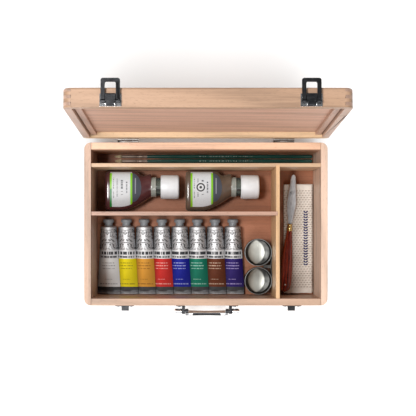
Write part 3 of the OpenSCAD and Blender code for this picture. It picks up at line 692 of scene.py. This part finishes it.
def make_tube(number, colour_name, colour, ink, cap_plastic):
    sides = 56
    rings = shoulder_rings(sides)
    rings += [tube_ring(step / 36, number, sides) for step in range(37)]
    rings += crimp_rings(sides)
    add_piece(f"tube_{number}_body", loft(rings), f"tube_{number}",
              tube_print(f"tube_{colour_name}_print", colour, ink, number * 7.3), [f"tube_{number}"],
              tube_place(number), smooth_below=60)

    profile = [(1.9, 4.3), (1.9, 5.6), (2.2, 5.8), (5.8, 5.8), (6.2, 6.0), (6.4, 7.3), (6.7, 7.65),
               (10.2, 7.65), (10.9, 7.3), (11.2, 6.6), (11.2, 3.0), (10.9, 2.6), (10.9, 0.4)]
    points, faces = turned(profile, sides=120, ribs=30, rib_height=0.35, ribbed=(6.6, 10.3))
    points = [(-y, x, z) for x, y, z in points]
    cap = f"tube_cap_{number}"
    add_piece(cap + "_moulding", (points, faces), cap, cap_plastic, [cap],
              tube_place(number))


# ---------- bottles ----------

BOTTLE_HALF_THICK = 19
BOTTLE_BODY = 65


def base_corner(x):
    """How far the rounding at the bottle's base draws its outline in."""
    return 4 - math.sqrt(max(0, 16 - (4 - min(x, 4)) ** 2))


def bottle_edges(x):
    """Front and back edge of a lying bottle's outline at a distance from its base."""
    if x <= 20:
        front = -34
    else:
        front = outline_at(((20, -34), (36, -34), (48, -25), (BOTTLE_BODY, -14.4)), x)
    if x <= 40:
        back = 22.5
    elif x <= 51.5:
        back = outline_at(((40, 22.5), (47, 22.5), (47.5, 18.6), (51.5, 17.0)), x)
    else:
        back = outline_at(((51.5, 17.0), (57, 15.2), (61, 20.4), (BOTTLE_BODY, 17.8)), x)
    return front + base_corner(x), back - base_corner(x)


def outline_at(curve, x):
    """The height of a cubic outline above a given distance along it."""
    low, high = 0.0, 1.0
    for _ in range(24):
        middle = (low + high) / 2
        if bezier(*curve, middle)[0] < x:
            low = middle
        else:
            high = middle
    return bezier(*curve, low)[1]


def bottle_section(x):
    """Centre, half width, half thickness and roundness of the bottle's section."""
    front, back = bottle_edges(x)
    blend = min(1, max(0, (x - 34) / (BOTTLE_BODY - 34)))
    blend = blend * blend * (3 - 2 * blend)
    thick = (1 - blend) * BOTTLE_HALF_THICK + blend * 14.6 - base_corner(x)
    return (front + back) / 2, (back - front) / 2, thick, 3.3 - 1.2 * blend


def bottle_rings(stations, sides=64):
    rings = []
    for x in stations:
        centre, half, thick, power = bottle_section(x)
        ring = []
        for i in range(sides):
            a = 2 * math.pi * i / sides
            y = half * squared(math.cos(a), 2 / power)
            z = thick * squared(math.sin(a), 2 / power)
            ring.append((x, centre + y, z))
        rings.append(ring)
    return rings


def label_patch():
    """The label: a sheet that hugs the upper side of the bottle, cut off along its shoulder."""
    rows, columns = 46, 44
    points, faces = [], []
    for r in range(rows + 1):
        x = 7.3 + (51.4 - 7.3) * r / rows
        centre, half, thick, power = bottle_section(x)
        front, back = bottle_edges(x)
        low, high = front + 5.5, back - 1.6
        if x > 38.8:
            reach = 20.4 * math.sqrt(max(0.0004, 1 - ((x - 38.8) / 12.7) ** 2))
            low, high = max(low, -1.5 - reach), min(high, -1.5 + reach)
            low = min(low, high - 0.2)
        for c in range(columns + 1):
            y = low + (high - low) * c / columns
            rise = max(0.0, 1 - abs((y - centre) / half) ** power) ** (1 / power)
            points.append((x, y, thick * rise + 0.14))
    for r in range(rows):
        for c in range(columns):
            a = r * (columns + 1) + c
            faces.append((a, a + 1, a + columns + 2, a + columns + 1))
    return points, faces


def make_bottle(side, x, filled, front_stripe, ring):
    place = Matrix.Translation(Vector((x, 53, 23.25)) * MM)
    body = f"{side}_bottle"
    stations = [0.0, 0.25, 0.7, 1.5, 2.6, 4.0] + [4 + (BOTTLE_BODY - 4) * k / 40 for k in range(1, 41)]
    add_piece(f"{side}_bottle_glass", loft(bottle_rings(stations)), body, filled, [body], place)
    add_piece(f"{side}_bottle_label", label_patch(), body,
              label_paper(f"{side}_label", front_stripe, ring), place=place)

    collar = [(64.6, 10.0), (64.6, 14.2), (65.0, 14.4)]
    for groove in (66.3, 68.7):
        collar += [(groove - 0.1, 14.4), (groove + 0.1, 13.9), (groove + 0.9, 13.9), (groove + 1.1, 14.4)]
    collar += [(71.6, 14.4), (71.9, 14.0), (71.9, 10.0)]
    collar_glass = filled_glass(f"{side}_collar", display(164, 168, 160), display(206, 210, 204))
    add_piece(f"{side}_bottle_collar", turned(collar, sides=96), body, collar_glass, place=place)
    neck = [(71.0, 4.0), (71.0, 11.6), (72.6, 11.8), (74.0, 11.8), (74.3, 12.9), (75.6, 12.9), (75.9, 11.8),
            (77.6, 11.8), (99.0, 11.8), (100.0, 11.2), (100.0, 2.0)]
    dark_glass = filled_glass(f"{side}_neck", display(96, 104, 96), display(28, 34, 30))
    add_piece(f"{side}_bottle_neck", turned(neck, sides=96), body, dark_glass, place=place)
    lugs = []
    for turn in (20, 55, 130, 160, 235, 300):
        a = math.radians(turn)
        lugs.append(cuboid((72.2, 77.6), (-1.5, 1.5), (12.4, 14.4), Matrix.Rotation(a, 4, "X")))
    dark_plastic = plastic(f"{side}_tab_plastic", (0.02, 0.022, 0.02))
    add_piece(f"{side}_bottle_ring_tabs", merged(lugs), body, dark_plastic, place=place)


def cuboid(x, y, z, turn=None):
    """A box between ranges of x, y and z, optionally turned."""
    points = [Vector((a, b, c)) for a in x for b in y for c in z]
    if turn:
        points = [turn @ p for p in points]
    faces = [(0, 1, 3, 2), (4, 6, 7, 5), (0, 4, 5, 1), (2, 3, 7, 6), (0, 2, 6, 4), (1, 5, 7, 3)]
    return [tuple(p) for p in points], faces


def make_bottle_cap(side, x, white):
    place = Matrix.Translation(Vector((x + 78.6, 53, 23.25)) * MM)
    profile = [(0.0, 12.5), (0.0, 16.5), (0.4, 17.0), (1.6, 17.1), (2.0, 16.9), (2.4, 17.1), (23.0, 17.0),
               (24.6, 16.5), (25.5, 15.5), (25.9, 14.2), (26.0, 12.0), (26.0, 6.0), (26.0, 0.6)]
    shape = turned(profile, sides=240, ribs=60, rib_height=0.22, ribbed=(2.3, 23.1))
    cap = f"{side}_bottle_cap"
    add_piece(cap + "_moulding", shape, cap, white, [cap], place)


# ---------- brushes ----------

BRUSH_START = -131.7
BRISTLES = 12
FERRULE = 36


def make_brush(side, y, lacquer_finish, ferrule_metal, hair):
    body = f"{side}_brush"
    place = Matrix.Translation(Vector((BRUSH_START, y, 7.35)) * MM)
    length = 286 - BRISTLES - FERRULE
    start = BRISTLES + FERRULE
    profile = [(start - 6, 0.4), (start - 6, 2.0), (start, 2.1), (start + 0.2, 2.5)]
    for k in range(1, 40):
        along, radius = bezier((0, 2.5), (20, 3.2), (80, 3.1), (length - 3, 2.9), k / 39)
        profile.append((start + along, radius))
    end = start + length
    profile += [(end - 1.6, 2.75), (end - 0.5, 2.2), (end, 1.2), (end, 0.2)]
    add_piece(f"{side}_brush_lacquered_handle", turned(profile, sides=40), body,
              lacquer_finish, [f"{side}_brush_handle"], place)

    profile = [(BRISTLES, 0.5), (BRISTLES, 2.2), (BRISTLES + 0.4, 2.32), (BRISTLES + 14, 2.55)]
    for groove in (22, 24, 31, 33):
        at = BRISTLES + groove
        profile += [(at - 0.7, 2.6), (at - 0.3, 2.38), (at + 0.3, 2.38), (at + 0.7, 2.6)]
    profile += [(start - 0.3, 2.58), (start, 2.45), (start, 0.5)]
    add_piece(f"{side}_brush_ferrule", turned(profile, sides=40), body, ferrule_metal,
              [f"{side}_brush_head"], place)

    rng = random.Random(7 if side == "back" else 11)
    hairs = []
    for _ in range(170):
        spread = math.sqrt(rng.random())
        a = rng.random() * 2 * math.pi
        reach = BRISTLES * (1 - 0.22 * spread - 0.1 * rng.random())
        hairs.append(hair_strand(spread, a, reach, rng.uniform(0.11, 0.16)))
    add_piece(f"{side}_brush_bristles", merged(hairs), body, hair, place=place)


def hair_strand(spread, angle, reach, thickness):
    """One bristle from the ferrule's mouth, bulging a little and closing towards the tip."""
    rings = []
    for k in range(6):
        t = k / 5
        radius = spread * (1.9 + 0.55 * math.sin(math.pi * min(1, t * 1.3)) - 0.45 * t * t)
        centre = (BRISTLES + 1 - t * (reach + 1), radius * math.cos(angle), radius * math.sin(angle))
        size = thickness * (1 - 0.75 * t)
        rings.append([(centre[0], centre[1] + size * math.cos(b), centre[2] + size * math.sin(b))
                      for b in (0, 2.094, 4.189)])
    return loft(rings)


# ---------- double dipper ----------

CUP_X = 75.2
CUP_BACK_Y = -40
CUP_FRONT_Y = -80.6


def make_dipper(steel):
    parts = []
    for y in (CUP_BACK_Y, CUP_FRONT_Y):
        profile = [(1.0, 0.3), (1.0, 17.2), (1.6, 18.2), (2.6, 18.6), (23.4, 18.6), (24.0, 18.45),
                   (24.5, 18.35), (24.9, 18.6), (25.0, 18.95), (24.9, 19.25), (24.4, 19.4), (23.8, 19.2),
                   (23.0, 19.3), (3.0, 19.3), (1.0, 18.9), (0.2, 17.8), (0.0, 16.8), (0.0, 0.3)]
        points, faces = turned(profile, sides=96)
        parts.append(([(CUP_X - pz, y + py, px) for px, py, pz in points], faces))
    parts.append(clip_band())
    place = Matrix.Translation(Vector((0, 0, FLOOR_TOP)) * MM)
    add_piece("double_dipper_spun_steel", merged(parts), "double_dipper", steel,
              ["double_dipper"], place)


def clip_band():
    """The bent spring clip: a strip that touches both cups, with a tongue between them."""
    outline = []
    for k in range(17):
        t = k / 16
        outline.append((CUP_X + 18.2 - 0.8 * math.cos(math.pi * (2 * t - 1)), -74 + 27.4 * t))
    rings = []
    for x, y in outline:
        rings.append([(x, y, 5.2), (x + 0.9, y, 5.2), (x + 0.9, y, 22.6), (x, y, 22.6)])
    tongue = cuboid((CUP_X + 8, CUP_X + 18.2), (-62.4, -58.2), (8.4, 19.6))
    return merged([loft(rings), tongue])


# ---------- palette knife ----------

KNIFE_PLACE = Matrix.Translation(Vector((120.6, 0, 21.55)) * MM) @ Matrix.Rotation(math.radians(-4.4), 4, "Z")


def make_knife(steel, brass, handle_wood):
    make_blade(steel)
    profile = [(-0.3, 1.5), (-0.3, 3.2), (0.2, 3.45), (1.6, 3.5), (2.0, 3.3), (2.4, 3.5), (6.6, 3.75),
               (7.0, 3.5), (7.4, 3.8), (9.2, 3.9), (9.5, 3.7), (9.5, 1.5)]
    points, faces = turned(profile, sides=64)
    points = [(y, -x, z) for x, y, z in points]
    add_piece("knife_brass_ferrule", (points, faces), "knife", brass, ["knife_ferrule"],
              KNIFE_PLACE)
    make_knife_handle(handle_wood)
    rivet = [(-4.25, 0.2), (-4.2, 1.0), (-3.95, 1.35), (3.95, 1.35), (4.2, 1.0), (4.25, 0.2)]
    points, faces = turned(rivet, sides=32)
    points = [(y - 0.5, z - 86.5, x) for x, y, z in points]
    add_piece("knife_rivet", (points, faces), "knife", steel, place=KNIFE_PLACE)


def make_blade(steel):
    """A thin leaf blade with ground bevels along both edges and a round tip."""
    stations = [-0.2] + [71 * k / 44 for k in range(1, 43)] + [70.2, 70.9]
    rings = []
    for y in stations:
        if y < 34:
            half = outline_at(((0, 3.2), (12, 4.4), (24, 7.6), (34, 6.9)), max(0.0, y))
        elif y < 67.8:
            half = 6.9 + (3.2 - 6.9) * (y - 34) / 33.8
        else:
            half = math.sqrt(max(0.02, 3.2 ** 2 - (y - 67.8) ** 2))
        inner = half - min(0.9, half * 0.5)
        rings.append([(-half, y, 0), (-inner, y, 0.36), (0, y, 0.4), (inner, y, 0.36),
                      (half, y, 0), (inner, y, -0.36), (0, y, -0.4), (-inner, y, -0.36)])
    add_piece("knife_ground_blade", loft(rings), "knife", steel, ["knife_blade"],
              KNIFE_PLACE, smooth_below=12)


def make_knife_handle(handle_wood):
    """The carved handle: bevelled top and bottom, slim behind the ferrule and full towards its end."""
    end, start = -96.5, -9.5
    rings = []
    for k in range(61):
        y = start + (end - start) * k / 60
        right, left = handle_edges(y, start, end)
        middle, half = (left + right) / 2, (right - left) / 2
        thick = 3.9 * min(1, 0.55 + half / 12)
        ring = []
        for i in range(32):
            a = 2 * math.pi * i / 32
            x = half * squared(math.cos(a), 0.62)
            z = thick * squared(math.sin(a), 0.62)
            ring.append((middle + x, y, z))
        rings.append(ring)
    add_piece("knife_carved_handle", loft(rings), "knife", handle_wood, ["knife_handle"],
              KNIFE_PLACE)


def handle_edges(y, start, end):
    """Right and left edge of the knife handle at a distance behind the blade."""
    t = (start - y) / (start - end)
    right = bezier((0, 3.7), (0.35, 6.2), (0.6, 11.2), (1.0, 6.6), t)[1]
    left = bezier((0, -3.7), (0.35, -7.0), (0.7, -11.2), (1.0, -7.4), t)[1]
    close = math.sqrt(max(0.0, 1 - max(0.0, (t - 0.9) / 0.1) ** 2))
    middle = (right + left) / 2 * (1 - max(0.0, (t - 0.9) / 0.1) * 0.2)
    half = max(0.25, (right - left) / 2 * close)
    return middle + half, middle - half


# ---------- cloth ----------

CLOTH_X = (112.4, 154.6)
CLOTH_Y = (-98.6, 58.1)
CLOTH_LAYERS = 5
CLOTH_THICKNESS = 1.3
LAYER_RISE = 2.75
WAFFLE_WIDTH = 4.3
WAFFLE_LENGTH = 3.2


def fold_path():
    """The folded cloth's centre line across its folds, as (x, z) a little under a millimetre apart."""
    turn = LAYER_RISE / 2
    left, right = CLOTH_X[0] + turn + 0.8, CLOTH_X[1] - turn - 0.8
    path = []
    for layer in range(CLOTH_LAYERS):
        z = FLOOR_TOP + 0.75 + layer * LAYER_RISE
        forward = layer % 2 == 0
        steps = int((right - left) / 0.72)
        for k in range(steps + 1):
            t = k / steps if forward else 1 - k / steps
            path.append((left + (right - left) * t, z))
        if layer < CLOTH_LAYERS - 1:
            for k in range(1, 6):
                a = math.pi * k / 6
                bulge = turn * math.sin(a)
                path.append(((right + bulge) if forward else (left - bulge), z + turn * (1 - math.cos(a))))
    return path


def waffle(u, v):
    """How deep the weave is at a point of the flat cloth: 1 in a pit and 0 on a ridge."""
    row = round(v / WAFFLE_LENGTH)
    a = (u / WAFFLE_WIDTH + 0.5 * (row % 2)) % 1.0
    b = abs(v / WAFFLE_LENGTH - row) * 2
    across = max(0.0, 1 - abs(a - 0.5) / 0.42)
    return min(1.0, 1.6 * across) * max(0.0, 1 - (b / 0.55) ** 2)


def make_cloth(weave, navy):
    path = fold_path()
    rows = 204
    points, pits, faces = [], [], []
    run = 0.0
    for i, (x, z) in enumerate(path):
        if i:
            run += math.dist(path[i], path[i - 1])
        before, after = path[max(0, i - 1)], path[min(len(path) - 1, i + 1)]
        along = Vector((after[0] - before[0], after[1] - before[1])).normalized()
        normal = Vector((-along.y, along.x))
        layer = min(CLOTH_LAYERS - 1, int((z - FLOOR_TOP) / LAYER_RISE))
        for r in range(rows + 1):
            t = r / rows
            ends = cloth_ends(layer, x)
            y = ends[0] + (ends[1] - ends[0]) * t
            hem = min(t, 1 - t) * (ends[1] - ends[0])
            pit = waffle(run, y) if hem > 7 else 0.0
            rumple = 0.3 * noise.noise(Vector((x * 0.05, y * 0.035, layer * 2.3)))
            stitch = 0.25 if 6.2 < hem < 7 else 0.0
            lift = (rumple - 0.28 * pit - stitch) * (1 if layer % 2 == 0 else -1)
            points.append((x + normal.x * lift, y, max(z + normal.y * lift, 4.95)))
            pits.append(pit)
    for i in range(len(path) - 1):
        for r in range(rows):
            a = i * (rows + 1) + r
            faces.append((a, a + rows + 1, a + rows + 2, a + 1))
    cloth = add_piece("cloth_waffle_weave", (points, faces), "cloth", weave, ["cloth"],
                      smooth_below=180)
    pit = cloth.data.attributes.new("pit", "FLOAT", "POINT")
    pit.data.foreach_set("value", pits)
    thicken = cloth.modifiers.new("thickness", "SOLIDIFY")
    thicken.thickness = CLOTH_THICKNESS * MM
    thicken.offset = 0

    stitches = make_stitches(navy)


def cloth_ends(layer, x):
    """Front and back end of a layer; the folded layers don't quite line up."""
    front = CLOTH_Y[0] + (0.6, 1.8, 0.2, 1.4, 0.0)[layer] + 0.5 * math.sin(x * 0.16 + layer)
    back = CLOTH_Y[1] - (1.6, 0.5, 2.4, 0.9, 1.2)[layer] - 0.5 * math.sin(x * 0.12 + 2 * layer)
    return max(front, CLOTH_Y[0]), min(back, CLOTH_Y[1])


def make_stitches(navy):
    """A plain embroidered row of navy chevrons along the top layer."""
    parts = []
    top = FLOOR_TOP + 0.75 + (CLOTH_LAYERS - 1) * LAYER_RISE + CLOTH_THICKNESS / 2 + 0.25
    for k in range(21):
        y = -58 + k * 3.75
        for side in (-1, 1):
            rings = []
            for step in range(7):
                t = step / 6
                centre = Vector((143.6 + side * 3.2 * t, y + 1.5 * t, top + 0.15 * math.sin(math.pi * t)))
                radius = 1.25 * math.sin(math.pi * (0.12 + 0.76 * t))
                rings.append([(centre.x, centre.y + radius * math.cos(a), centre.z + radius * math.sin(a))
                              for a in (0, 1.047, 2.094, 3.142, 4.189, 5.236)])
            parts.append(loft(rings))
    return add_piece("cloth_navy_stitches", merged(parts), "cloth", navy, smooth_below=80)


# ---------- everything on the box ----------


def make_contents():
    cap_plastic = plastic("grey_cap_plastic", display(112, 114, 117), 0.38)
    for number, (colour_name, colour, ink) in enumerate(TUBES, 1):
        make_tube(number, colour_name, colour, ink, cap_plastic)

    white = plastic("white_cap_plastic", display(228, 231, 234), 0.3)
    brown = filled_glass("brown_medium", display(82, 44, 46), display(122, 90, 92))
    clear = filled_glass("thin_medium", display(108, 90, 76), display(176, 172, 160), clear=0.15)
    make_bottle("left", -141.9, brown, display(0, 120, 44), ring=False)
    make_bottle("right", -28.2, clear, display(122, 178, 22), ring=True)
    make_bottle_cap("left", -141.9, white)
    make_bottle_cap("right", -28.2, white)

    green = lacquer("green_lacquer", display(22, 66, 58), marks=(0.12, 0.2))
    ferrule = metal("ferrule_nickel", (0.36, 0.29, 0.24), 0.58)
    hair = bristle_hair("cream_bristle")
    make_brush("back", 97.6, green, ferrule, hair)
    make_brush("front", 91.1, green, ferrule, hair)

    make_dipper(spun_cup("spun_tin_plate"))
    make_knife(metal("ground_steel", (0.6, 0.6, 0.61), 0.34, brush_axis=1, wear=0.02),
               metal("polished_brass", (0.78, 0.6, 0.24), 0.18), stained_wood("varnished_red_wood"))
    make_cloth(waffle_cloth("waffle_cotton_weave"), thread("navy_thread", display(22, 26, 84)))


# ---------- floor, light and camera ----------


def make_floor():
    mesh = bpy.data.meshes.new("studio_floor")
    half, z = 6.0, -0.0002
    corners = [(-half, -half, z), (half, -half, z), (half, half, z), (-half, half, z)]
    mesh.from_pydata(corners, [], [(0, 1, 2, 3)])
    mesh.materials.append(studio_floor("pale_floor"))
    floor = new_object("studio_floor", mesh)
    return floor


def add_light(name, place, size, power):
    """A square area light that looks at the middle of the box."""
    data = bpy.data.lights.new(name, "AREA")
    data.shape = "SQUARE"
    data.size = size
    data.energy = power
    light = new_object(name, data)
    light.location = place
    light.rotation_euler = (Vector((0, 0, 0.05)) - Vector(place)).to_track_quat("-Z", "Y").to_euler()
    light.visible_camera = False
    return light


def make_light(floor):
    """A soft key from the left, a fill from the front, and a wash that only the floor takes."""
    key = add_light("key_light", (-0.62, 0.08, 1.8), 0.42, 25)
    fill = add_light("front_fill", (-0.15, -0.95, 1.55), 0.9, 15)
    wash = add_light("floor_wash", (0, -0.38, 2.4), 1.6, 95)
    only_floor = bpy.data.collections.new("only_floor")
    only_floor.objects.link(floor)
    wash.light_linking.receiver_collection = only_floor
    all_but_floor = bpy.data.collections.new("all_but_floor")
    all_but_floor.objects.link(floor)
    all_but_floor.collection_objects[0].light_linking.link_state = "EXCLUDE"
    for light in (key, fill):
        light.light_linking.receiver_collection = all_but_floor
    make_sky()


def make_sky():
    """A surround that brightens upwards, with the dark patch of the camera and its boom overhead."""
    world = bpy.data.worlds.new("studio")
    bpy.context.scene.world = world
    world.use_nodes = True
    nodes, links = world.node_tree.nodes, world.node_tree.links
    height = nodes.new("ShaderNodeSeparateXYZ")
    links.new(nodes.new("ShaderNodeTexCoord").outputs["Generated"], height.inputs[0])
    ramp = nodes.new("ShaderNodeValToRGB")
    for position, level in ((0.93, 0.95), (0.975, 0.05)):
        ramp.color_ramp.elements.new(position).color = (level, level, level, 1)
    ramp.color_ramp.elements[0].color = (0.5, 0.5, 0.5, 1)
    ramp.color_ramp.elements[3].color = (0.03, 0.03, 0.03, 1)
    links.new(height.outputs["Z"], ramp.inputs["Fac"])
    background = nodes["Background"]
    links.new(ramp.outputs["Color"], background.inputs["Color"])
    background.inputs["Strength"].default_value = 0.46


def make_camera():
    """Looks straight down from over the box, with a small shift that frames it."""
    data = bpy.data.cameras.new("camera")
    data.sensor_width = 36
    data.lens = 86.77
    data.shift_x = 0.0311
    data.shift_y = 0.0504
    data.clip_start = 0.05
    data.clip_end = 50
    camera = new_object("camera", data)
    camera.location = (-0.014732, -0.006667, RIM_HEIGHT + 1.358732)
    bpy.context.scene.camera = camera


make_boards()
make_hardware()
make_contents()
make_light(make_floor())
make_camera()
bpy.context.scene.view_settings.view_transform = "Standard"
